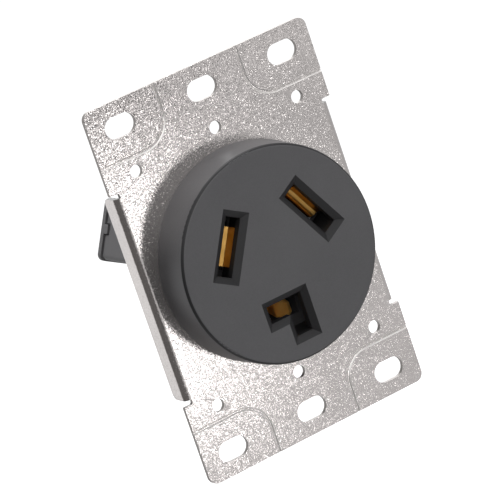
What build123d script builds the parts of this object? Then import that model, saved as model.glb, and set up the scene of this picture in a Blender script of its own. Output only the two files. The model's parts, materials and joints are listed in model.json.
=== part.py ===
"""Flush-mounted three prong dryer receptacle, 30 A, two slanted hot slots over an L-shaped neutral slot.

The frame is the wall's: X to the right, Z up, and the face looks along -Y.  The origin lies on the housing's
axis, on the back of the mounting strap, which is the plane that the box or panel touches.
Depths are written as "levels": the distance in front of that plane, so what lies in the wall has a level below 0.
"""

from build123d import *
import os
from math import cos, radians, sin

os.makedirs("parts", exist_ok=True)

# Mounting strap
strap_side_margin = 8.43
strap_end_margin = 6.08
strap_thickness = 1.2
strap_corner_radius = 2.2
box_screw_spacing_x = 46.04
box_screw_spacing_z = 83.34
box_slot_length = 8.2
box_slot_width = 5.2
plate_screw_spacing = 60.33
middle_plate_screw_spacing = 63.5
plate_screw_hole = 3.2
flange_inset = 0.85
flange_depth = 4.9
flange_length = 51.8
flange_bend_radius = 0.4
flange_corner_radius = 1.5
relief_width = 1.2
relief_radius = 0.55
score_width = 0.9
score_depth = 0.25
score_wall_slope = 50
score_level_z = 33.75
score_level_x = 11.7
score_corner_radius = 7.0

# Front housing
housing_base_radius = 26.7
housing_rim_radius = 26.2
housing_height = 11.25
housing_wall = 2.4
face_thickness = 3.2
rim_fillet = 0.9
boss_radius = 3.6
blade_depth = 22.0
boss_screw_depth = 7.5
guard_wall = 1.3
guard_clearance = 0.5

# Blade slots: two hot slots on a circle, the neutral one below
hot_angles = {"right": 30, "left": 150}
neutral_angle = 270
hot_slot_radius = 13.4
hot_slot_length = 14.25
hot_slot_width = 3.9
neutral_top = 10.6
neutral_bottom = 20.4
neutral_slot_width = 4.3
neutral_foot_reach = 7.45
bevel_inset = 1.55
bevel_depth = 1.2

# Rear body: three arms round a hub
arm_width = 14.8
arm_wall = 1.6
end_wall = 1.8
hub_radius = 18.0
arm_corner_radius = 1.3
body_depth = 25.5
base_rim = 0.6
base_thickness = 4.5
well_inward_room = 4.8
well_outward_room = 5.1
tongue_seat_width = 1.1

# Back cover
cover_overhang = 0.3
cover_thickness = 1.6
cover_step = 0.7
cover_step_inset = 0.8
driver_hole_clearance = 0.7
tongue_width = 2.3
tongue_rise = 1.8
tongue_thickness = 1.1
notch_clearance = 0.3
notch_rise = 1.7
post_width = 6.0
post_thickness = 1.8

# Contacts: each jaw is two leaves, apart at the foot, nearly closed at the throat and flared at the lips
contact_thickness = 1.0
contact_level = -10.4
jaw_foot_gap = 4.0
jaw_bend_radius = 0.4
lip_corner = 0.9
hot_knee_level = -5.0
hot_throat_gap = 0.2
hot_throat_level = 5.2
hot_crease_gap = 4.0
hot_crease_level = 6.0
hot_lip_gap = 6.4
hot_lip_level = 8.3
hot_jaw_width = 9.4
neutral_knee_level = -8.4
neutral_throat_gap = 1.6
neutral_throat_level = -2.8
neutral_lip_gap = 5.4
neutral_lip_level = 1.2
neutral_jaw_width = 4.2
tongue_end_setback = 0.5
clamp_tongue_width = 8.0
web_height = 1.6
spring_thickness = 0.6
spring_clearance = 0.1
spring_margin = 1.4

# Clamps and their screws
clamp_length = 5.2
clamp_width = 10.8
clamp_wall = 1.2
clamp_back_wall = 2.6
screw_reach = 0.8
seat_clearance = 0.1
side_clearance = 0.3
pad_thickness = 1.0
terminal_screw_radius = 2.25
terminal_head_radius = 2.7
terminal_head_height = 2.4
terminal_head_setback = 0.6
terminal_screw_gap = 1.3
terminal_recess_length = 4.4
head_chamfer = 0.3
clamp_edge_radius = 0.5
mouth_radius = 1.5

# Assembly screws
assembly_angle = 90
assembly_screw_radius = 1.75
assembly_head_radius = 3.1
assembly_head_height = 2.2
assembly_head_clearance = 0.4
screw_clearance = 0.25
assembly_head_round = 0.8
assembly_recess_length = 3.6
recess_width = 0.9
recess_depth = 1.2

# Window in the strap round the contacts
window_hub_radius = 12.0
window_side_margin = 1.075
window_end_margin = 2.6

strap_width = box_screw_spacing_x + 2 * strap_side_margin
strap_height = box_screw_spacing_z + 2 * strap_end_margin
flange_face_spacing = strap_width - 2 * flange_inset
window_arm_width = hot_slot_length + 2 * window_side_margin
window_reach = neutral_bottom + window_end_margin
assembly_circle_radius = hub_radius + assembly_head_radius + assembly_head_clearance
base_radius = assembly_circle_radius + assembly_head_radius + base_rim
well_inner_radius = hot_slot_radius - well_inward_room
tongue_seat_radius = hot_slot_radius + well_outward_room
clamp_inner_radius = tongue_seat_radius + tongue_seat_width + side_clearance
clamp_centre_radius = clamp_inner_radius + clamp_length / 2
tongue_end_radius = clamp_inner_radius + clamp_length - tongue_end_setback
arm_reach = clamp_inner_radius + clamp_length + side_clearance + end_wall
neutral_jaw_radius = tongue_seat_radius - 2 * seat_clearance - neutral_jaw_width / 2
face_level = strap_thickness + housing_height
face_back_level = face_level - face_thickness
arm_angles = [hot_angles["right"], hot_angles["left"], neutral_angle]
poles = {"hot_right": hot_angles["right"], "hot_left": hot_angles["left"], "neutral": neutral_angle}
pocket_width = arm_width - 2 * arm_wall
pocket_reach = arm_reach - end_wall
guard_width = hot_slot_length + 2 * guard_clearance
guard_reach = {
    hot_angles["right"]: tongue_seat_radius,
    hot_angles["left"]: tongue_seat_radius,
    neutral_angle: neutral_bottom + guard_clearance,
}
blade_tip_level = face_level - blade_depth
cover_front_level = -body_depth - cover_step
head_level = cover_front_level + terminal_head_setback + terminal_head_height
clamp_front_level = contact_level + seat_clearance + clamp_wall
clamp_back_level = head_level + terminal_screw_gap
pad_width = clamp_width - 2 * clamp_wall - 2 * seat_clearance
pad_back_level = clamp_back_level + clamp_back_wall + screw_reach
wire_top_level = contact_level - contact_thickness - seat_clearance
wire_height = wire_top_level - pad_back_level - pad_thickness
wire_level = wire_top_level - wire_height / 2


def level(height):
    """Plane parallel to the wall, at a distance in front of the strap's back; x is right and y is up."""
    return Plane.XZ.offset(height)


def arm_direction(angle):
    return Vector(cos(radians(angle)), 0, sin(radians(angle)))


def arm_level(angle, height):
    """Plane parallel to the wall whose x runs out along an arm."""
    return Plane(origin=(0, -height, 0), x_dir=arm_direction(angle), z_dir=(0, -1, 0))


def radial_section(angle, radius):
    """Plane along an arm: x is out from the given radius, y is the level."""
    out = arm_direction(angle)
    return Plane(origin=out * radius, x_dir=out, z_dir=-arm_direction(angle + 90))


def cross_section(angle, radius):
    """Plane across an arm at the given radius: x is sideways, y is the level, and its normal points out."""
    out = arm_direction(angle)
    return Plane(origin=out * radius, x_dir=arm_direction(angle + 90), z_dir=out)


def polar_place(radius, angle):
    """Place on a sketch at a radius and angle, turned so that x runs outwards."""
    return Location((radius * cos(radians(angle)), radius * sin(radians(angle))), angle)


def three_arms(margin):
    """Outline of the rear body grown by a margin, drawn in the sketch that is open."""
    Circle(hub_radius + margin)
    with PolarLocations(0, len(arm_angles), start_angle=arm_angles[0]):
        Rectangle(arm_reach + margin, arm_width + 2 * margin, align=(Align.MIN, Align.CENTER))


def leaf_pair(bends):
    """Section of the two leaves of a jaw through its bends, each a gap and a level; y is the level.

    The sheet is rolled outwards at the throat, so there the inner face has the larger radius.
    """
    throat = min(range(len(bends)), key=lambda index: bends[index][0])
    radii = [jaw_bend_radius] * (len(bends) - 1)
    radii[throat] += contact_thickness
    with BuildSketch() as leaves:
        with BuildLine():
            FilletPolyline(
                (jaw_foot_gap / 2, contact_level - contact_thickness),
                *[(gap / 2, height) for gap, height in bends],
                radius=radii,
            )
            offset(amount=contact_thickness, side=Side.RIGHT)
        make_face()
        mirror(about=Plane.YZ)
    return leaves.sketch


def spring_section(knee_level, throat_gap, throat_level, grow):
    """Section round both leaves' backs grown outwards, drawn in the sketch that is open."""
    slope = (jaw_foot_gap - throat_gap) / 2 / (throat_level - knee_level)
    low_level = contact_level + web_height
    high_level = throat_level - spring_margin
    low = jaw_foot_gap / 2 + contact_thickness + spring_clearance + grow
    high = low - slope * (high_level - knee_level)
    Polygon(
        (-low, low_level),
        (low, low_level),
        (low, knee_level),
        (high, high_level),
        (-high, high_level),
        (-low, knee_level),
        align=None,
    )


def neutral_outline(margin):
    """L-shaped outline of the neutral slot grown by a margin, drawn in the sketch that is open."""
    leg = neutral_slot_width / 2 + margin
    foot = -neutral_foot_reach - margin
    top = -neutral_top + margin
    step = -neutral_top - neutral_slot_width - margin
    bottom = -neutral_bottom - margin
    Polygon((foot, top), (leg, top), (leg, bottom), (-leg, bottom), (-leg, step), (foot, step), align=None)


def is_arm_corner(vertex):
    """Whether a corner of the three-armed outline is at the free end of an arm."""
    return Vector(vertex.X, vertex.Y, vertex.Z).length > (hub_radius + arm_reach) / 2


def lengthwise(angle):
    """Filter for the edges that run along an arm."""
    return Axis((0, 0, 0), arm_direction(angle))


def lip_tips(contact, lip_level):
    """The short edges through the thickness at the four corners of a jaw's lips."""
    short = contact.edges().filter_by(lambda edge: abs(edge.length - contact_thickness) < 0.001)
    return short.filter_by(lambda edge: -edge.center().Y > lip_level - contact_thickness)


# Mounting strap: one sheet, its side flanges bent back
bend_start = flange_face_spacing / 2 - flange_bend_radius - strap_thickness
relief_z = flange_length / 2 + relief_width

with BuildPart() as mounting_strap:
    with BuildSketch(level(0)) as sheet:
        RectangleRounded(strap_width, strap_height, strap_corner_radius)
        with Locations((bend_start, 0)):
            Rectangle(strap_width, 2 * relief_z, align=(Align.MIN, Align.CENTER), mode=Mode.SUBTRACT)
        with Locations((-bend_start, 0)):
            Rectangle(strap_width, 2 * relief_z, align=(Align.MAX, Align.CENTER), mode=Mode.SUBTRACT)
        inner_corners = sheet.vertices().filter_by(lambda v: abs(abs(v.X) - bend_start) < 0.01)
        fillet(inner_corners, relief_radius)
    extrude(amount=strap_thickness)
    with BuildSketch(Plane.XY) as flange:
        with BuildLine():
            bend = CenterArc((bend_start, flange_bend_radius), flange_bend_radius, -90, 90)
            leg = Line(bend @ 1, (flange_face_spacing / 2 - strap_thickness, flange_depth))
            offset(amount=strap_thickness, side=Side.RIGHT)
        make_face()
        mirror(about=Plane.YZ)
    extrude(amount=flange_length / 2, both=True)
    free_corners = mounting_strap.edges().filter_by(Axis.X).group_by(Axis.Y)[-1]
    fillet(free_corners, flange_corner_radius)
    with BuildSketch(level(0)):
        with GridLocations(box_screw_spacing_x, box_screw_spacing_z, 2, 2):
            SlotOverall(box_slot_length, box_slot_width)
        with GridLocations(0, box_screw_spacing_z, 1, 2):
            SlotOverall(box_slot_length, box_slot_width)
        with GridLocations(box_screw_spacing_x, plate_screw_spacing, 2, 2):
            Circle(plate_screw_hole / 2)
        with GridLocations(0, middle_plate_screw_spacing, 1, 2):
            Circle(plate_screw_hole / 2)
        with PolarLocations(assembly_circle_radius, 3, start_angle=assembly_angle):
            Circle(assembly_screw_radius + screw_clearance)
    extrude(amount=strap_thickness, mode=Mode.SUBTRACT)
    with BuildSketch(level(0)):
        Circle(window_hub_radius)
        with PolarLocations(0, len(arm_angles), start_angle=arm_angles[0]):
            Rectangle(window_reach, window_arm_width, align=(Align.MIN, Align.CENTER))
    extrude(amount=strap_thickness, mode=Mode.SUBTRACT)
    with BuildSketch(level(strap_thickness)):
        with BuildLine():
            FilletPolyline(
                (strap_width, score_level_z),
                (score_level_x, score_level_z),
                (score_level_x, strap_height),
                radius=score_corner_radius,
            )
        trace(line_width=score_width)
        mirror(about=Plane.YZ)
        mirror(about=Plane.XZ)
    extrude(amount=-score_depth, taper=score_wall_slope, mode=Mode.SUBTRACT)
mounting_strap.part.label = "mounting_strap"
export_step(mounting_strap.part, "parts/mounting_strap.step")


# Front housing: a drafted round cup, its mouth on the strap
with BuildPart() as front_housing:
    with BuildSketch(Plane.XY) as cup:
        with BuildLine():
            Polyline(
                (0, -face_level),
                (housing_rim_radius, -face_level),
                (housing_base_radius, -strap_thickness),
                (housing_base_radius - housing_wall, -strap_thickness),
                (housing_rim_radius - housing_wall, -face_back_level),
                (0, -face_back_level),
                close=True,
            )
        make_face()
        fillet(cup.vertices().group_by(Axis.Y)[0].sort_by(Axis.X)[-1], rim_fillet)
    revolve(axis=Axis.Y)
    with BuildSketch(level(strap_thickness)):
        with PolarLocations(assembly_circle_radius, 3, start_angle=assembly_angle):
            Circle(boss_radius)
    extrude(amount=housing_height - face_thickness)
    for angle in arm_angles:
        guard_length = guard_reach[angle] - well_inner_radius
        with BuildSketch(arm_level(angle, strap_thickness)):
            with Locations((well_inner_radius + guard_length / 2, 0)):
                Rectangle(guard_length + 2 * guard_wall, guard_width + 2 * guard_wall)
                Rectangle(guard_length, guard_width, mode=Mode.SUBTRACT)
        extrude(amount=housing_height - face_thickness)
    with BuildSketch(level(strap_thickness)):
        with PolarLocations(assembly_circle_radius, 3, start_angle=assembly_angle):
            Circle(assembly_screw_radius)
    extrude(amount=boss_screw_depth, mode=Mode.SUBTRACT)
    for angle in hot_angles.values():
        for height, margin in ((face_level, bevel_inset), (face_level - bevel_depth, 0)):
            with BuildSketch(arm_level(angle, height)):
                with Locations((hot_slot_radius, 0)):
                    Rectangle(hot_slot_width + 2 * margin, hot_slot_length + 2 * margin)
        loft(mode=Mode.SUBTRACT)
        with BuildSketch(arm_level(angle, face_level)):
            with Locations((hot_slot_radius, 0)):
                Rectangle(hot_slot_width, hot_slot_length)
        extrude(amount=-face_thickness, mode=Mode.SUBTRACT)
    for height, margin in ((face_level, bevel_inset), (face_level - bevel_depth, 0)):
        with BuildSketch(level(height)):
            neutral_outline(margin)
    loft(ruled=True, mode=Mode.SUBTRACT)
    with BuildSketch(level(face_level)):
        neutral_outline(0)
    extrude(amount=-face_thickness, mode=Mode.SUBTRACT)
front_housing.part.label = "front_housing"
export_step(front_housing.part, "parts/front_housing.step")


# Rear body: three arms and a hub on a round base, open at the back, with a pocket for each contact
with BuildPart() as rear_body:
    with BuildSketch(level(0)) as outline:
        three_arms(0)
        fillet(outline.vertices().filter_by(is_arm_corner), arm_corner_radius)
    extrude(amount=-body_depth)
    with BuildSketch(level(0)):
        Circle(base_radius)
    extrude(amount=-base_thickness)
    for angle in arm_angles:
        with BuildSketch(arm_level(angle, 0)):
            with Locations((well_inner_radius, 0)):
                Rectangle(
                    tongue_seat_radius - well_inner_radius,
                    pocket_width,
                    align=(Align.MIN, Align.CENTER),
                )
        extrude(amount=-body_depth, mode=Mode.SUBTRACT)
        with BuildSketch(arm_level(angle, contact_level)):
            with Locations((well_inner_radius, 0)):
                Rectangle(pocket_reach - well_inner_radius, pocket_width, align=(Align.MIN, Align.CENTER))
        extrude(amount=-body_depth, mode=Mode.SUBTRACT)
        with BuildSketch(arm_level(angle, clamp_front_level + side_clearance)):
            with Locations((tongue_seat_radius + tongue_seat_width, 0)):
                Rectangle(
                    pocket_reach - tongue_seat_radius - tongue_seat_width,
                    pocket_width,
                    align=(Align.MIN, Align.CENTER),
                )
        extrude(amount=-body_depth, mode=Mode.SUBTRACT)
        with BuildSketch(cross_section(angle, arm_reach)):
            with Locations((0, wire_level)):
                RectangleRounded(clamp_tongue_width + 2 * seat_clearance, wire_height, mouth_radius)
        extrude(amount=-2 * end_wall, mode=Mode.SUBTRACT)
        with BuildSketch(cross_section(angle, arm_reach)):
            with Locations((0, -body_depth)):
                Rectangle(tongue_width + 2 * notch_clearance, notch_rise, align=(Align.CENTER, Align.MIN))
        extrude(amount=-2 * end_wall, mode=Mode.SUBTRACT)
    with BuildSketch(level(0)):
        neutral_outline(0)
        for angle in hot_angles.values():
            with Locations(polar_place(hot_slot_radius, angle)):
                Rectangle(hot_slot_width, hot_slot_length)
    extrude(amount=blade_tip_level, mode=Mode.SUBTRACT)
    with BuildSketch(level(0)):
        with PolarLocations(assembly_circle_radius, 3, start_angle=assembly_angle):
            Circle(assembly_screw_radius + screw_clearance)
    extrude(amount=-base_thickness, mode=Mode.SUBTRACT)
rear_body.part.label = "rear_body"
export_step(rear_body.part, "parts/rear_body.step")


# Back cover: a three-armed plate over the body's open back, with a step, posts and snap tongues
with BuildPart() as back_cover:
    with BuildSketch(level(cover_front_level)) as plate:
        three_arms(cover_overhang)
        fillet(plate.vertices().filter_by(is_arm_corner), arm_corner_radius + cover_overhang)
    extrude(amount=-cover_thickness)
    with BuildSketch(level(-body_depth)):
        three_arms(-cover_step_inset)
    extrude(amount=-cover_step)
    for angle in arm_angles:
        with BuildSketch(arm_level(angle, cover_front_level)):
            with Locations((arm_reach + cover_overhang, 0)):
                Rectangle(tongue_thickness, tongue_width, align=(Align.MAX, Align.CENTER))
        extrude(amount=tongue_rise)
        with BuildSketch(arm_level(angle, contact_level - contact_thickness - seat_clearance)):
            with Locations((tongue_seat_radius + tongue_seat_width, 0)):
                Rectangle(post_thickness, post_width, align=(Align.MAX, Align.CENTER))
        extrude(amount=-body_depth - contact_level + contact_thickness + seat_clearance)
    with BuildSketch(level(-body_depth)):
        with PolarLocations(clamp_centre_radius, len(arm_angles), start_angle=arm_angles[0]):
            Circle(terminal_head_radius + driver_hole_clearance)
    extrude(amount=-cover_step - cover_thickness, mode=Mode.SUBTRACT)
back_cover.part.label = "back_cover"
export_step(back_cover.part, "parts/back_cover.step")


hot_bends = [
    (jaw_foot_gap, hot_knee_level),
    (hot_throat_gap, hot_throat_level),
    (hot_crease_gap, hot_crease_level),
    (hot_lip_gap, hot_lip_level),
]

# Hot contacts: two leaves joined by a web at one end, and a tongue bent out to the clamp
for side, angle in hot_angles.items():
    section = radial_section(angle, hot_slot_radius)
    web_end = 1 if side == "left" else -1
    with BuildPart() as hot_contact:
        with BuildSketch(section):
            add(leaf_pair(hot_bends))
        extrude(amount=hot_jaw_width / 2, both=True)
        chamfer(lip_tips(hot_contact, hot_lip_level), lip_corner)
        with BuildSketch(section.offset(web_end * hot_jaw_width / 2)):
            with Locations((0, contact_level - contact_thickness)):
                Rectangle(
                    jaw_foot_gap + 2 * contact_thickness,
                    web_height,
                    align=(Align.CENTER, Align.MIN),
                )
        extrude(amount=-web_end * contact_thickness)
        with BuildSketch(section):
            with Locations((jaw_foot_gap / 2, contact_level)):
                Rectangle(
                    tongue_end_radius - hot_slot_radius - jaw_foot_gap / 2,
                    contact_thickness,
                    align=(Align.MIN, Align.MAX),
                )
        extrude(amount=clamp_tongue_width / 2, both=True)
    hot_contact.part.label = f"hot_contact_{side}"
    export_step(hot_contact.part, f"parts/hot_contact_{side}.step")

    # Steel clip round the two leaves, closed at the end that has no web
    with BuildPart() as hot_spring:
        with BuildSketch(section.offset(-web_end * (hot_jaw_width / 2 + spring_clearance + spring_thickness))):
            spring_section(hot_knee_level, hot_throat_gap, hot_throat_level, spring_thickness)
        extrude(amount=web_end * (hot_jaw_width + spring_clearance + spring_thickness))
        with BuildSketch(section.offset(-web_end * (hot_jaw_width / 2 + spring_clearance))):
            spring_section(hot_knee_level, hot_throat_gap, hot_throat_level, 0)
        extrude(amount=2 * web_end * hot_jaw_width, mode=Mode.SUBTRACT)
    hot_spring.part.label = f"hot_spring_{side}"
    export_step(hot_spring.part, f"parts/hot_spring_{side}.step")


neutral_bends = [
    (jaw_foot_gap, neutral_knee_level),
    (neutral_throat_gap, neutral_throat_level),
    (neutral_lip_gap, neutral_lip_level),
]

# Neutral contact: a base plate with a leaf bent up from each side, and its tongue running out to the clamp
neutral_section = cross_section(neutral_angle, neutral_jaw_radius)
with BuildPart() as neutral_contact:
    with BuildSketch(neutral_section):
        add(leaf_pair(neutral_bends))
        with Locations((0, contact_level)):
            Rectangle(jaw_foot_gap, contact_thickness, align=(Align.CENTER, Align.MAX))
    extrude(amount=neutral_jaw_width / 2, both=True)
    chamfer(lip_tips(neutral_contact, neutral_lip_level), lip_corner)
    with BuildSketch(arm_level(neutral_angle, contact_level)):
        with Locations((neutral_jaw_radius, 0)):
            Rectangle(
                tongue_end_radius - neutral_jaw_radius,
                clamp_tongue_width,
                align=(Align.MIN, Align.CENTER),
            )
    extrude(amount=-contact_thickness)
neutral_contact.part.label = "neutral_contact"
export_step(neutral_contact.part, "parts/neutral_contact.step")

with BuildPart() as neutral_spring:
    with BuildSketch(neutral_section.offset(-neutral_jaw_width / 2 - spring_clearance - spring_thickness)):
        spring_section(neutral_knee_level, neutral_throat_gap, neutral_throat_level, spring_thickness)
    extrude(amount=neutral_jaw_width + spring_clearance + spring_thickness)
    with BuildSketch(neutral_section.offset(-neutral_jaw_width / 2 - spring_clearance)):
        spring_section(neutral_knee_level, neutral_throat_gap, neutral_throat_level, 0)
    extrude(amount=2 * neutral_jaw_width, mode=Mode.SUBTRACT)
neutral_spring.part.label = "neutral_spring"
export_step(neutral_spring.part, "parts/neutral_spring.step")


# Cage clamps: a rectangular frame round each tongue, its thick back wall taking the screw
for pole, angle in poles.items():
    with BuildPart() as clamp:
        with BuildSketch(cross_section(angle, clamp_inner_radius)):
            with Locations((0, clamp_front_level)):
                Rectangle(clamp_width, clamp_front_level - clamp_back_level, align=(Align.CENTER, Align.MAX))
            with Locations((0, clamp_front_level - clamp_wall)):
                Rectangle(
                    clamp_width - 2 * clamp_wall,
                    clamp_front_level - clamp_wall - clamp_back_level - clamp_back_wall,
                    align=(Align.CENTER, Align.MAX),
                    mode=Mode.SUBTRACT,
                )
        extrude(amount=clamp_length)
        fillet(clamp.edges().filter_by(lengthwise(angle)), clamp_edge_radius)
        with BuildSketch(arm_level(angle, clamp_back_level)):
            with Locations((clamp_centre_radius, 0)):
                Circle(terminal_screw_radius)
        extrude(amount=clamp_back_wall, mode=Mode.SUBTRACT)
    clamp.part.label = f"{pole}_clamp"
    export_step(clamp.part, f"parts/{clamp.part.label}.step")

    # Pressure plate on the screw's tip
    with BuildPart() as pad:
        with BuildSketch(cross_section(angle, clamp_inner_radius)):
            with Locations((0, pad_back_level)):
                Rectangle(pad_width, pad_thickness, align=(Align.CENTER, Align.MIN))
        extrude(amount=clamp_length)
    pad.part.label = f"{pole}_pad"
    export_step(pad.part, f"parts/{pad.part.label}.step")


# Clamp screws: cylinder heads with a cross recess, driven through the holes in the cover
with BuildPart() as terminal_screws:
    with BuildSketch(level(pad_back_level)):
        with PolarLocations(clamp_centre_radius, len(arm_angles), start_angle=arm_angles[0]):
            Circle(terminal_screw_radius)
    extrude(amount=head_level - pad_back_level)
    with BuildSketch(level(head_level)):
        with PolarLocations(clamp_centre_radius, len(arm_angles), start_angle=arm_angles[0]):
            Circle(terminal_head_radius)
    extrude(amount=-terminal_head_height)
    chamfer(terminal_screws.edges().group_by(Axis.Y)[-1], head_chamfer)
    with BuildSketch(level(head_level - terminal_head_height)):
        with PolarLocations(clamp_centre_radius, len(arm_angles), start_angle=arm_angles[0]):
            Rectangle(recess_width, terminal_recess_length)
            Rectangle(terminal_recess_length, recess_width)
    extrude(amount=recess_depth, mode=Mode.SUBTRACT)
terminal_screws.part.label = "terminal_screws"
export_step(terminal_screws.part, "parts/terminal_screws.step")


# Assembly screws: domed heads on the body's base, shanks through the strap into the housing's bosses
with BuildPart() as assembly_screws:
    with BuildSketch(level(strap_thickness + boss_screw_depth)):
        with PolarLocations(assembly_circle_radius, 3, start_angle=assembly_angle):
            Circle(assembly_screw_radius)
    extrude(amount=-strap_thickness - boss_screw_depth - base_thickness)
    with BuildSketch(level(-base_thickness)):
        with PolarLocations(assembly_circle_radius, 3, start_angle=assembly_angle):
            Circle(assembly_head_radius)
    extrude(amount=-assembly_head_height)
    fillet(assembly_screws.edges().group_by(Axis.Y)[-1], assembly_head_round)
    with BuildSketch(level(-base_thickness - assembly_head_height)):
        with PolarLocations(assembly_circle_radius, 3, start_angle=assembly_angle):
            Rectangle(recess_width, assembly_recess_length)
            Rectangle(assembly_recess_length, recess_width)
    extrude(amount=recess_depth, mode=Mode.SUBTRACT)
assembly_screws.part.label = "assembly_screws"
export_step(assembly_screws.part, "parts/assembly_screws.step")
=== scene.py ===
import json
import math

import bpy
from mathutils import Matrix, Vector


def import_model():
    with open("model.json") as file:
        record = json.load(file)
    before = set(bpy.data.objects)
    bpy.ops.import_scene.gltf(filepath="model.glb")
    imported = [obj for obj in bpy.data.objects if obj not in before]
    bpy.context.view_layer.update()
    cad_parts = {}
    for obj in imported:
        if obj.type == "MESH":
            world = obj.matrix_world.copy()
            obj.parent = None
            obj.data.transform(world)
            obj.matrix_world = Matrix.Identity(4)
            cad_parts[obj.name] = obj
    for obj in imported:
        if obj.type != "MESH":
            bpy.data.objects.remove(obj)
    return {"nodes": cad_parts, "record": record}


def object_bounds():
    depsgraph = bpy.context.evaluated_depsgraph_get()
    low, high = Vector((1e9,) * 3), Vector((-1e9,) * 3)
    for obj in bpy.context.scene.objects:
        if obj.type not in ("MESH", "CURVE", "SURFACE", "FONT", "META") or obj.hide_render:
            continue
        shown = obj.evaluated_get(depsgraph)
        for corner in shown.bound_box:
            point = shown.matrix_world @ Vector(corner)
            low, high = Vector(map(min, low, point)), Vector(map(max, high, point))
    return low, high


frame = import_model()
cad_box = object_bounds()
nodes = frame["nodes"]

MM = 0.001
WHITE = (1, 1, 1, 1)

# Where the picture was taken from, in metres, and how the camera was held, in degrees
CAMERA_PLACE = (-0.35132, -0.73783, 0.21411)
CAMERA_TURN = (74.5467, 18.3328, -30.3484)
CAMERA_LENS = 255.34
SENSOR_WIDTH = 36
NEAREST_SEEN = 0.01

# How far the floor lies under the object, and half its width
FLOOR_DROP = 0.3
FLOOR_HALF_WIDTH = 6.0


# Shader nodes
def socket(tree, value, target):
    """Links a socket to the target, or sets the target to a plain value."""
    if isinstance(value, bpy.types.NodeSocket):
        tree.links.new(value, target)
    else:
        target.default_value = value


def feed(tree, node, inputs):
    """Links or sets a node's inputs, given by name or by place."""
    for name, value in inputs.items():
        socket(tree, value, node.inputs[name])


def add_node(tree, kind, inputs=None, **settings):
    node = tree.nodes.new(kind)
    for name, value in settings.items():
        setattr(node, name, value)
    feed(tree, node, inputs or {})
    return node


def math_node(tree, operation, a, b=0.0):
    return add_node(tree, "ShaderNodeMath", {0: a, 1: b}, operation=operation).outputs[0]


def vector_math(tree, operation, inputs, output="Vector"):
    return add_node(tree, "ShaderNodeVectorMath", inputs, operation=operation).outputs[output]


def split(tree, vector):
    """The X, Y and Z of a vector, by name."""
    return add_node(tree, "ShaderNodeSeparateXYZ", {0: vector}).outputs


def map_range(tree, value, low, high, to_low, to_high):
    node = add_node(tree, "ShaderNodeMapRange", {
        "Value": value, "From Min": low, "From Max": high, "To Min": to_low, "To Max": to_high})
    return node.outputs["Result"]


def between(tree, share, low, high):
    """A value from low, where the share is 0, to high, where it is 1."""
    return map_range(tree, share, 0.0, 1.0, low, high)


def blend_values(tree, mask, first, second):
    node = add_node(tree, "ShaderNodeMix", {0: mask, 2: first, 3: second}, data_type="FLOAT")
    return node.outputs[0]


def blend_colours(tree, mask, first, second, how="MIX"):
    node = add_node(
        tree, "ShaderNodeMix", {0: mask, 6: first, 7: second}, data_type="RGBA", blend_type=how)
    return node.outputs[2]


def opaque(colour, factor=1.0):
    """The colour times a factor, with the alpha that a colour socket takes."""
    return tuple(min(1.0, factor * part) for part in colour) + (1.0,)


def object_point(tree):
    return add_node(tree, "ShaderNodeTexCoord").outputs["Object"]


def crystal_colours(tree, point, per_metre):
    """One random colour for each crystal, so many crystals to the metre."""
    cells = add_node(tree, "ShaderNodeTexVoronoi", {"Vector": point, "Scale": per_metre}, feature="F1")
    return cells.outputs["Color"]


def noise(tree, point, per_metre, detail, roughness):
    made = add_node(tree, "ShaderNodeTexNoise", {
        "Vector": point, "Scale": per_metre, "Detail": detail, "Roughness": roughness})
    return made.outputs[0]


# Node groups
def new_group(name, inputs, outputs):
    """Shader node group with named sockets; returns it with its input and output nodes."""
    group = bpy.data.node_groups.new(name, "ShaderNodeTree")
    for label, kind, default in inputs:
        made = group.interface.new_socket(label, in_out="INPUT", socket_type=kind)
        made.default_value = default
    for label, kind in outputs:
        group.interface.new_socket(label, in_out="OUTPUT", socket_type=kind)
    return group, group.nodes.new("NodeGroupInput"), group.nodes.new("NodeGroupOutput")


def place_group(tree, group, inputs):
    node = add_node(tree, "ShaderNodeGroup", node_tree=group)
    feed(tree, node, inputs)
    return node


def grain_group():
    """Random lightness from fine crystals, with a soft cloud over them; sizes are in metres."""
    group, given, result = new_group(
        "grain",
        [("Size", "NodeSocketFloat", 0.4 * MM), ("Cloud Size", "NodeSocketFloat", 10 * MM),
         ("Cloud", "NodeSocketFloat", 0.3)],
        [("Crystals", "NodeSocketFloat"), ("Clouds", "NodeSocketFloat"), ("Height", "NodeSocketFloat")])
    point = object_point(group)
    per_metre = math_node(group, "DIVIDE", 1.0, given.outputs["Size"])
    colours = crystal_colours(group, point, per_metre)
    tone = add_node(group, "ShaderNodeSeparateColor", {0: colours}).outputs[0]
    fine = noise(group, point, per_metre, detail=3.0, roughness=0.6)
    clouds_per_metre = math_node(group, "DIVIDE", 1.0, given.outputs["Cloud Size"])
    cloud = noise(group, point, clouds_per_metre, detail=4.0, roughness=0.55)
    contrast = map_range(group, cloud, 0.3, 0.7, 0.0, 1.0)
    feed(group, result, {
        "Crystals": tone,
        "Clouds": blend_values(group, given.outputs["Cloud"], 0.5, contrast),
        "Height": blend_values(group, 0.5, tone, fine),
    })
    return group


# The facets' second layer is finer than the first, and only few of its crystals tilt steeply
FINER_LAYER = 1.9
STEEP_RARITY = 3.0
GENTLE_TILT = 0.5
STEEP_TILT = 2.5
HALF_EACH_WAY = (0.5, 0.5, 0.5)


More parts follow.
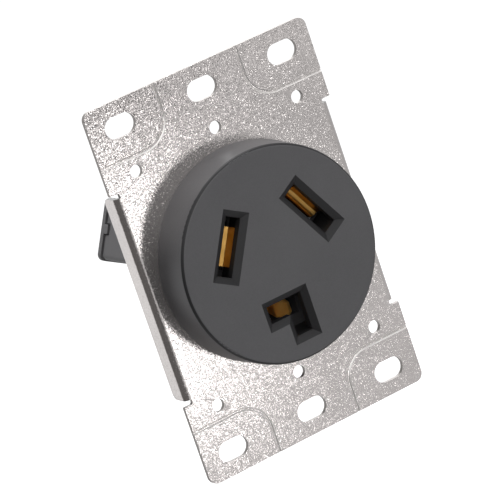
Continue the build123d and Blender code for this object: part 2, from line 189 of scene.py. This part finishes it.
def facet_group():
    """Normals tilted at random from crystal to crystal, as a blasted and plated surface has them.

    Size is in metres. Tone is a random lightness for each crystal of the finer layer.
    """
    group, given, result = new_group(
        "facets",
        [("Size", "NodeSocketFloat", 0.4 * MM), ("Tilt", "NodeSocketFloat", 0.2)],
        [("Normal", "NodeSocketVector"), ("Tone", "NodeSocketFloat")])
    point = object_point(group)
    per_metre = math_node(group, "DIVIDE", 1.0, given.outputs["Size"])
    finer_per_metre = math_node(group, "MULTIPLY", per_metre, FINER_LAYER)
    coarse, fine = (
        vector_math(group, "SUBTRACT", {0: crystal_colours(group, point, scale), 1: HALF_EACH_WAY})
        for scale in (per_metre, finer_per_metre)
    )
    chance = add_node(group, "ShaderNodeTexWhiteNoise", {"Vector": fine}, noise_dimensions="3D")
    rare = math_node(group, "POWER", chance.outputs["Value"], STEEP_RARITY)
    steepness = between(group, rare, GENTLE_TILT, STEEP_TILT)
    sideways = vector_math(group, "ADD", {0: coarse, 1: fine})
    for strength in (steepness, given.outputs["Tilt"]):
        sideways = vector_math(group, "SCALE", {0: sideways, "Scale": strength})
    surface = add_node(group, "ShaderNodeNewGeometry").outputs["Normal"]
    tilted = vector_math(group, "ADD", {0: surface, 1: sideways})
    feed(group, result, {
        "Normal": vector_math(group, "NORMALIZE", {0: tilted}),
        "Tone": math_node(group, "ADD", split(group, fine)["X"], 0.5),
    })
    return group


GRAIN = grain_group()
FACETS = facet_group()


# Masks
def above(tree, value, limit):
    return math_node(tree, "GREATER_THAN", value, limit)


def below(tree, value, limit):
    return math_node(tree, "LESS_THAN", value, limit)


def farther(tree, value, limit):
    """1 where the value lies farther from 0 than the limit, on either side."""
    return above(tree, math_node(tree, "ABSOLUTE", value), limit)


def nearer(tree, value, limit):
    """1 where the value lies nearer to 0 than the limit, on either side."""
    return below(tree, math_node(tree, "ABSOLUTE", value), limit)


def both(tree, first, second):
    return math_node(tree, "MULTIPLY", first, second)


def either(tree, first, second):
    return math_node(tree, "MAXIMUM", first, second)


def outside(tree, mask, left_out):
    """The mask, with 0 wherever the second one is 1."""
    return both(tree, mask, math_node(tree, "SUBTRACT", 1.0, left_out))


def facing_and_place(tree):
    """The face's true unit normal and the point's place, each split into X, Y and Z."""
    normal = add_node(tree, "ShaderNodeNewGeometry").outputs["True Normal"]
    return split(tree, normal), split(tree, object_point(tree))


# Parts of a unit normal, which is -1 along Y where a face looks straight to the front
ACROSS_FRONT = 0.25
LITTLE_TURNED = 0.35
UP_OR_DOWN = 0.8
GROOVE_STEEPEST = 0.3
GROOVE_FLATTEST = 0.95
FLAT_FRONT = 0.93

# The strap's plate lies before PLATE_BACK along Y. Each flange lies beyond FLANGES_FROM along X and
# within FLANGE_REACH along Z, and its ends are looked for behind BEHIND_PLATE.
PLATE_BACK = 0.02 * MM
BEHIND_PLATE = 0.3 * MM
FLANGES_FROM = 28.5 * MM
FLANGE_REACH = 26.2 * MM

# The housing's slots lie within this radius, and its rim and its side outside it
SLOTS_RADIUS = 23 * MM


def sheet_masks(tree):
    """Three masks for the strap: sheared edges of plate and holes; ends of the flanges, for a painted
    shade; scored grooves, for a painted highlight and a rougher finish.
    """
    facing, place = facing_and_place(tree)
    plate = below(tree, place["Y"], PLATE_BACK)
    flange = both(tree, farther(tree, place["X"], FLANGES_FROM), nearer(tree, place["Z"], FLANGE_REACH))
    end = farther(tree, facing["Z"], UP_OR_DOWN)
    cut = outside(tree, both(tree, nearer(tree, facing["Y"], ACROSS_FRONT), plate), flange)
    thin = nearer(tree, facing["X"], LITTLE_TURNED)
    turned_back = both(
        tree, above(tree, facing["Y"], -LITTLE_TURNED), above(tree, place["Y"], BEHIND_PLATE))
    flange_end_shade = both(tree, flange, either(tree, end, both(tree, thin, turned_back)))
    sloping = both(
        tree, above(tree, facing["Y"], -GROOVE_FLATTEST), below(tree, facing["Y"], -GROOVE_STEEPEST))
    grooves = outside(tree, both(tree, sloping, plate), flange)
    return either(tree, end, cut), flange_end_shade, grooves


def housing_masks(tree):
    """Two masks for the housing: its slots' walls with its rim, and its side.

    The mould's polish leaves the walls and the rim smooth, and a painted shade makes them darker, as shade
    falls in the slots and along the rim. The side is a little glossier.
    """
    facing, place = facing_and_place(tree)
    across = add_node(tree, "ShaderNodeCombineXYZ", {0: place["X"], 1: 0.0, 2: place["Z"]}).outputs[0]
    inside = below(tree, vector_math(tree, "LENGTH", {0: across}, "Value"), SLOTS_RADIUS)
    turned = above(tree, facing["Y"], -FLAT_FRONT)
    sideways = above(tree, facing["Y"], -ACROSS_FRONT)
    rim = math_node(tree, "SUBTRACT", turned, sideways)
    return either(tree, both(tree, inside, turned), rim), outside(tree, sideways, inside)


# Materials
def new_material(name):
    material = bpy.data.materials.new(name)
    material.use_nodes = True
    tree = material.node_tree
    return material, tree, tree.nodes["Principled BSDF"]


def bump(tree, height, strength, distance):
    node = add_node(tree, "ShaderNodeBump", {"Height": height, "Strength": strength, "Distance": distance})
    return node.outputs["Normal"]


CRYSTAL_DARK = (0.415, 0.391, 0.381)
CRYSTAL_LIGHT = (0.515, 0.485, 0.474)
SHEARED_COLOUR = (0.24, 0.225, 0.215)
# Painted shade: the flanges' ends near black, as though their notch lay in shadow
FLANGE_END_SHADE = (0.05, 0.048, 0.046)
# Painted highlight: the scored grooves lighter than the plate, as though their walls caught the light
GROOVE_HIGHLIGHT = (0.60, 0.58, 0.565)
DIMMEST_CLOUD = 0.9
CRYSTAL_ROUGHNESS = (0.10, 0.15)
WORKED_ROUGHNESS = 0.45
PLATED_METALLIC = 0.86


def plated_sheet():
    """Zinc plated sheet steel, blasted before plating, so it sparkles crystal by crystal."""
    material, tree, shader = new_material("plated_sheet")
    grain = place_group(tree, GRAIN, {"Size": 0.3 * MM, "Cloud Size": 16 * MM, "Cloud": 0.8})
    facets = place_group(tree, FACETS, {"Size": 0.23 * MM, "Tilt": 0.10})
    crystals = blend_colours(tree, facets.outputs["Tone"], opaque(CRYSTAL_DARK), opaque(CRYSTAL_LIGHT))
    dimming = between(tree, grain.outputs["Clouds"], DIMMEST_CLOUD, 1.0)
    veil = add_node(tree, "ShaderNodeCombineColor", {0: dimming, 1: dimming, 2: dimming}).outputs[0]
    colour = blend_colours(tree, 1.0, crystals, veil, "MULTIPLY")
    sheared, flange_end_shade, grooves = sheet_masks(tree)
    # Sheared edges take their own darker colour, the flanges' ends a painted shade and the grooves a
    # painted highlight
    for mask, edge_colour_or_painted_light in (
            (sheared, SHEARED_COLOUR), (flange_end_shade, FLANGE_END_SHADE), (grooves, GROOVE_HIGHLIGHT)):
        colour = blend_colours(tree, mask, colour, opaque(edge_colour_or_painted_light))
    roughness = between(tree, grain.outputs["Crystals"], *CRYSTAL_ROUGHNESS)
    worked = either(tree, sheared, grooves)
    feed(tree, shader, {
        "Base Color": colour,
        "Roughness": blend_values(tree, worked, roughness, WORKED_ROUGHNESS),
        "Metallic": PLATED_METALLIC,
        "Normal": facets.outputs["Normal"],
    })
    return material


# Moulded plastic: its specular level, its flecks, and what the mould's polish changes, with a painted
# shade that darkens the polished walls and the rim
PLASTIC_GLEAM = 0.38
POLISHED_GLEAM = 0.2
FLECK_STRENGTH = 0.16
FLECK_LIGHTER = 1.7
TEXTURE_ROUGHNESS = 0.06
# Painted shade: how much darker the polished walls and the rim are coloured
PAINTED_WALL_SHADE = 0.35
POLISHED_ROUGHNESS = 0.42
SIDE_ROUGHNESS = 0.44


def moulded_plastic(name, dark, light, rough, texture, polish_and_shade_masks=None):
    """Satin moulded plastic with a fine sparked texture and faint flow clouds.

    The mask function gives 1 where the mould is polished and a painted shade darkens the colour, and 1 on
    a glossier side.
    """
    material, tree, shader = new_material(name)
    grain = place_group(tree, GRAIN, {"Size": texture, "Cloud Size": 18 * MM, "Cloud": 0.7})
    crystals = grain.outputs["Crystals"]
    colour = blend_colours(tree, grain.outputs["Clouds"], opaque(dark), opaque(light))
    flecks = between(tree, crystals, 0.0, FLECK_STRENGTH)
    colour = blend_colours(tree, flecks, colour, opaque(light, FLECK_LIGHTER))
    roughness = between(tree, crystals, rough - TEXTURE_ROUGHNESS, rough + TEXTURE_ROUGHNESS)
    height = grain.outputs["Height"]
    gleam = PLASTIC_GLEAM
    if polish_and_shade_masks is not None:
        polish_and_shade, side = polish_and_shade_masks(tree)
        # Painted shade on the polished walls and the rim
        colour = blend_colours(tree, polish_and_shade, colour, opaque(dark, PAINTED_WALL_SHADE))
        roughness = blend_values(tree, side, roughness, SIDE_ROUGHNESS)
        roughness = blend_values(tree, polish_and_shade, roughness, POLISHED_ROUGHNESS)
        height = blend_values(tree, polish_and_shade, height, 0.5)
        gleam = blend_values(tree, polish_and_shade, PLASTIC_GLEAM, POLISHED_GLEAM)
    feed(tree, shader, {
        "Base Color": colour,
        "Roughness": roughness,
        "Specular IOR Level": gleam,
        "Normal": bump(tree, height, strength=0.35, distance=0.015 * MM),
    })
    return material


# How far the bloom on rolled metal moves its roughness either way
BLOOM_ROUGHNESS = 0.07


def rolled_metal(name, dark, light, rough, metallic=1.0):
    """Rolled strip or wire with a faint mottled bloom."""
    material, tree, shader = new_material(name)
    grain = place_group(tree, GRAIN, {"Size": 0.25 * MM, "Cloud Size": 3 * MM, "Cloud": 1.0})
    clouds = grain.outputs["Clouds"]
    feed(tree, shader, {
        "Base Color": blend_colours(tree, clouds, opaque(dark), opaque(light)),
        "Roughness": between(tree, clouds, rough - BLOOM_ROUGHNESS, rough + BLOOM_ROUGHNESS),
        "Metallic": metallic,
        "Normal": bump(tree, grain.outputs["Height"], strength=0.2, distance=0.01 * MM),
    })
    return material


MATERIALS = {
    "plated_strap": plated_sheet(),
    "housing_plastic": moulded_plastic(
        "housing_plastic", (0.054, 0.053, 0.056), (0.067, 0.066, 0.069), 0.5, 0.22 * MM, housing_masks),
    "body_plastic": moulded_plastic(
        "body_plastic", (0.076, 0.074, 0.077), (0.097, 0.095, 0.098), 0.55, 0.25 * MM),
    "contact_brass": rolled_metal("contact_brass", (0.37, 0.21, 0.055), (0.54, 0.31, 0.095), 0.34),
    # Lighter copy of the contact brass, painted light for the neutral contact in its shaded slot
    "painted_light_brass": rolled_metal("painted_light_brass", (0.90, 0.50, 0.12), (0.98, 0.66, 0.22), 0.56, 0.6),
    "spring_steel": rolled_metal("spring_steel", (0.50, 0.50, 0.52), (0.62, 0.62, 0.64), 0.25),
    "clamp_steel": rolled_metal("clamp_steel", (0.56, 0.55, 0.52), (0.70, 0.69, 0.65), 0.35),
    "screw_steel": rolled_metal("screw_steel", (0.54, 0.54, 0.55), (0.68, 0.68, 0.69), 0.3),
}


# Pieces from the CAD
# The neutral contact takes a lighter copy of the brass: painted light, as it lies deep in shade in its
# slot
LIT_COPY_PIECES = ("neutral_contact",)

# Width of the rounded edges in millimetres
EDGE_ROUNDS = {
    "mounting_strap": 0.12,
    "front_housing": 0.12,
    "rear_body": 0.15,
    "back_cover": 0.15,
}

WELD_DISTANCE = 0.5e-6
SHARP_EDGE = math.radians(35)


def soften_edges(piece, width):
    """Rounds the sharp edges by a width in metres, so that they catch the light."""
    weld = piece.modifiers.new("weld", "WELD")
    weld.merge_threshold = WELD_DISTANCE
    edge = piece.modifiers.new("edge", "BEVEL")
    edge.width = width
    edge.segments = 2
    edge.limit_method = "ANGLE"
    edge.angle_limit = SHARP_EDGE
    edge.use_clamp_overlap = True
    edge.harden_normals = False
    for face in piece.data.polygons:
        face.use_smooth = True
    smooth = piece.modifiers.new("smooth", "WEIGHTED_NORMAL")
    smooth.keep_sharp = True


def dress_cad_nodes():
    slots = {part["node"]: part["material_slot"] for part in frame["record"]["subparts"]}
    for name, piece in nodes.items():
        material = MATERIALS["painted_light_brass" if name in LIT_COPY_PIECES else slots[name]]
        piece.data.materials.clear()
        piece.data.materials.append(material)
        if name in EDGE_ROUNDS:
            soften_edges(piece, EDGE_ROUNDS[name] * MM)


dress_cad_nodes()


# Studio
def link_object(name, data):
    made = bpy.data.objects.new(name, data)
    bpy.context.scene.collection.objects.link(made)
    return made


def camera():
    data = bpy.data.cameras.new("camera")
    data.lens = CAMERA_LENS
    data.sensor_width = SENSOR_WIDTH
    data.sensor_fit = "HORIZONTAL"
    data.clip_start = NEAREST_SEEN
    made = link_object("camera", data)
    made.location = CAMERA_PLACE
    made.rotation_euler = [math.radians(a) for a in CAMERA_TURN]
    bpy.context.scene.camera = made


def background_seen(tree):
    """1 where the camera, a reflection or glass looks at the background, else 0."""
    path = add_node(tree, "ShaderNodeLightPath")
    seen = either(tree, path.outputs["Is Camera Ray"], path.outputs["Is Glossy Ray"])
    return either(tree, seen, path.outputs["Is Transmission Ray"])


STUDIO_ROUGHNESS = 0.9
FLOOR_COLOUR = (0.36, 0.36, 0.36, 1)
FLOOR_GLEAM = 0.1

# The floor's glow to all that looks at it, and what the camera sees besides
GLOW_SEEN = 0.55
GLOW_TO_CAMERA = 0.35


def floor():
    """Grey floor well below the hung receptacle, lit up to white except where the shadow falls."""
    low = cad_box[0][2] - FLOOR_DROP
    corners = [
        (x * FLOOR_HALF_WIDTH, y * FLOOR_HALF_WIDTH, low) for x, y in ((-1, -1), (1, -1), (1, 1), (-1, 1))
    ]
    mesh = bpy.data.meshes.new("floor")
    mesh.from_pydata(corners, [], [(0, 1, 2, 3)])
    made = link_object("floor", mesh)
    material, tree, shader = new_material("floor_white")
    feed(tree, shader, {
        "Base Color": FLOOR_COLOUR, "Roughness": STUDIO_ROUGHNESS, "Specular IOR Level": FLOOR_GLEAM})
    direct = add_node(tree, "ShaderNodeLightPath").outputs["Is Camera Ray"]
    strength = math_node(
        tree, "ADD", math_node(tree, "MULTIPLY", background_seen(tree), GLOW_SEEN),
        math_node(tree, "MULTIPLY", direct, GLOW_TO_CAMERA))
    glow = add_node(tree, "ShaderNodeEmission", {"Color": WHITE, "Strength": strength})
    lit = add_node(tree, "ShaderNodeAddShader", {0: shader.outputs[0], 1: glow.outputs[0]})
    feed(tree, tree.nodes["Material Output"], {"Surface": lit.outputs[0]})
    mesh.materials.append(material)


WORLD_LIGHT = (0.42, 0.42, 0.43, 1)


def world():
    made = bpy.data.worlds.new("studio")
    made.use_nodes = True
    tree = made.node_tree
    colour = blend_colours(tree, background_seen(tree), WORLD_LIGHT, WHITE)
    feed(tree, tree.nodes["Background"], {"Color": colour, "Strength": 1.0})
    bpy.context.scene.world = made


def softbox(name, place, size, power, target=(0, 0, 0)):
    """Rectangular lamp turned to its target; place and size are in metres, and power is in watts."""
    data = bpy.data.lights.new(name, "AREA")
    data.shape = "RECTANGLE"
    data.size, data.size_y = size
    data.energy = power
    made = link_object(name, data)
    made.location = place
    made.rotation_euler = (Vector(target) - Vector(place)).to_track_quat("-Z", "Y").to_euler()
    made.visible_camera = False


def hidden_card(name, corners, faces, colour):
    """A card out of the camera's sight that darkens only what mirrors it."""
    mesh = bpy.data.meshes.new(name)
    mesh.from_pydata(corners, [], faces)
    made = link_object(name, mesh)
    made.visible_camera = False
    made.visible_shadow = False
    material, tree, shader = new_material(name)
    feed(tree, shader, {"Base Color": colour, "Roughness": STUDIO_ROUGHNESS})
    mesh.materials.append(material)


def even_angles(first, last, steps):
    """Angles in radians from the first to the last, which are given in degrees."""
    return [math.radians(first + (last - first) * i / steps) for i in range(steps + 1)]


def left_card():
    """Dark card curved round the object's left, from near the front to behind it."""
    reach, columns, rows = 0.6, 24, 8
    turns = even_angles(-14, -126, columns)
    rises = even_angles(-32, 14, rows)
    corners = [
        (reach * math.sin(a) * math.cos(e), -reach * math.cos(a) * math.cos(e), reach * math.sin(e))
        for e in rises for a in turns
    ]
    wide = columns + 1
    faces = [
        (i + j * wide, i + 1 + j * wide, i + 1 + (j + 1) * wide, i + (j + 1) * wide)
        for j in range(rows) for i in range(columns)
    ]
    hidden_card("left_card", corners, faces, (0.13, 0.123, 0.119, 1))


def corner_card():
    """Small dark card that the plate's upper left corner mirrors."""
    middle, half_wide, half_high = (0.150, -0.441, -0.020), 0.045, 0.046
    corners = [
        (middle[0] + side * half_wide, middle[1], middle[2] + rise * half_high)
        for side, rise in ((-1, -1), (1, -1), (1, 1), (-1, 1))
    ]
    hidden_card("corner_card", corners, [(0, 1, 2, 3)], (0.05, 0.05, 0.05, 1))


camera()
floor()
world()
softbox("top_light", (0.15, 0.12, 1.0), (0.8, 0.8), 12.0)
softbox("key_light", (-0.33, -0.97, 0.60), (1.0, 0.7), 3.2)
softbox("front_light", (0.35, -1.1, 0.35), (1.1, 1.1), 3.4)
softbox("slot_light", (-0.43, -0.905, 0.262), (0.3, 0.3), 0.7)
softbox("glare_light", (0.147, -0.443, -0.124), (0.05, 0.09), 0.115, target=(-0.038, 0, 0.0))
softbox("back_light", (0.5, 0.9, 0.5), (0.8, 0.8), 6.0)
softbox("back_left_light", (-0.5, 0.95, -0.2), (0.6, 0.6), 0.7)
left_card()
corner_card()

bpy.context.scene.view_settings.view_transform = "Standard"
